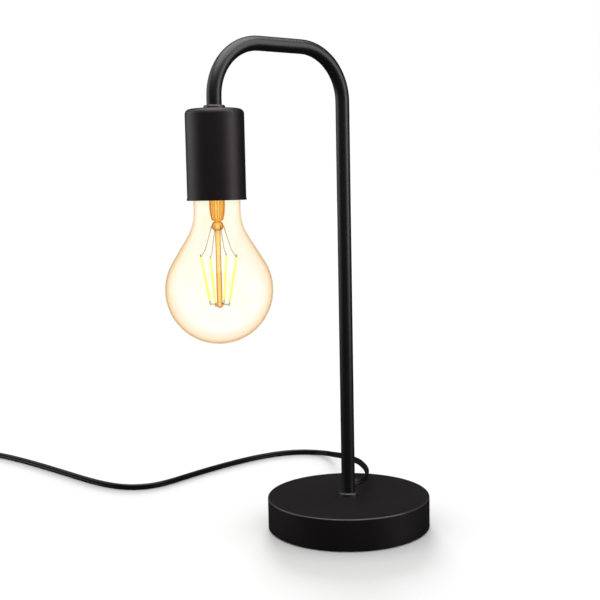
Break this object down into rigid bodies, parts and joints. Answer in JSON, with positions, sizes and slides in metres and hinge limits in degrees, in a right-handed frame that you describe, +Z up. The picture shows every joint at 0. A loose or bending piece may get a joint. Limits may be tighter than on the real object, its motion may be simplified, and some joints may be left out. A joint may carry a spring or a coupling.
{
  "type": "bedside lamp",
  "caption": "Bedside lamp with a heavy disc base, an arched tube, a downward screw lampholder with an amber filament bulb, and a cord with an in-line rocker switch and plug.",
  "frame": {"origin": "on the floor under the middle of the base, where the post's axis meets it", "axes": "+Z up along the post; the arm reaches along -X; the cord leaves the post along +X"},
  "size_m": [0.4119, 0.474, 0.3535],
  "materials": {
    "black_metal": "matt black powder coat",
    "iron": "raw casting",
    "foam": "closed-cell foam",
    "steel": "zinc plated",
    "grommet": "soft black",
    "holder": "black thermoset",
    "porcelain": "glazed white",
    "brass": "bright",
    "cap_metal": "nickel plated",
    "cap_insulator": "black glass",
    "amber_glass": "clear amber",
    "mount_glass": "clear amber",
    "filament": "yellow phosphor coating, lit",
    "board": "circuit board",
    "brown_core": "brown insulation",
    "blue_core": "blue insulation",
    "cord": "satin black sheath",
    "switch_black": "satin moulded black",
    "rocker_black": "semi-gloss moulded black",
    "plug_black": "moulded black",
    "pin_metal": "nickel plated",
    "tie": "black strip"
  },
  "bodies": {
    "lamp": {"base_shell": "black_metal", "stem_tube": "black_metal", "foot_collar": "black_metal", "head_collar": "black_metal", "socket_cover": "black_metal", "base_weight": "iron", "base_pad": "foam", "stem_washer": "steel", "stem_nut": "steel", "holder_nut": "steel", "terminal_screws": "steel", "switch_screws": "steel", "rocker_pin": "steel", "cord_grommet": "grommet", "holder_dome": "holder", "holder_skirt": "holder", "holder_insert": "porcelain", "screw_shell": "brass", "centre_contact": "brass", "live_terminal": "brass", "neutral_terminal": "brass", "switch_posts": "brass", "switch_terminals": "brass", "live_wire": "brown_core", "neutral_wire": "blue_core", "cord_run": "cord", "cord_lead": "cord", "cord_coil": "cord", "cord_tail": "cord", "switch_wires": "cord", "switch_lower": "switch_black", "switch_upper": "switch_black", "plug_body": "plug_black", "plug_sleeves": "plug_black", "plug_pins": "pin_metal", "coil_tie": "tie"},
    "bulb_glass": {"bulb_globe": "amber_glass"},
    "bulb_core": {"bulb_cap": "cap_metal", "bulb_insulator": "cap_insulator", "bulb_contact": "cap_metal", "bulb_driver": "board", "bulb_stem": "mount_glass", "led_filaments": "filament", "filament_leads": "steel", "filament_links": "steel"},
    "rocker": {"switch_rocker": "rocker_black", "rocker_contact": "brass"}
  },
  "joints": [
    {"name": "bulb_travel", "type": "slide", "parent": "lamp", "child": "bulb_glass", "axis": [0, 0, -1], "range_m": [0, 0.01814]},
    {"name": "bulb_turn", "type": "hinge", "parent": "bulb_glass", "child": "bulb_core", "pos_m": [-0.109, 0, 0.25], "axis": [0, 0, -1], "range_deg": [0, 1800]},
    {"name": "switch_rock", "type": "hinge", "parent": "lamp", "child": "rocker", "pos_m": [-0.2, 0.334, 0.0125], "axis": [-0.9903, 0.1392, 0], "range_deg": [0, 18]}
  ],
  "couplings": [
    {"joint": "bulb_turn", "follows": "bulb_travel", "rad_per_m": 1731.4}
  ]
}
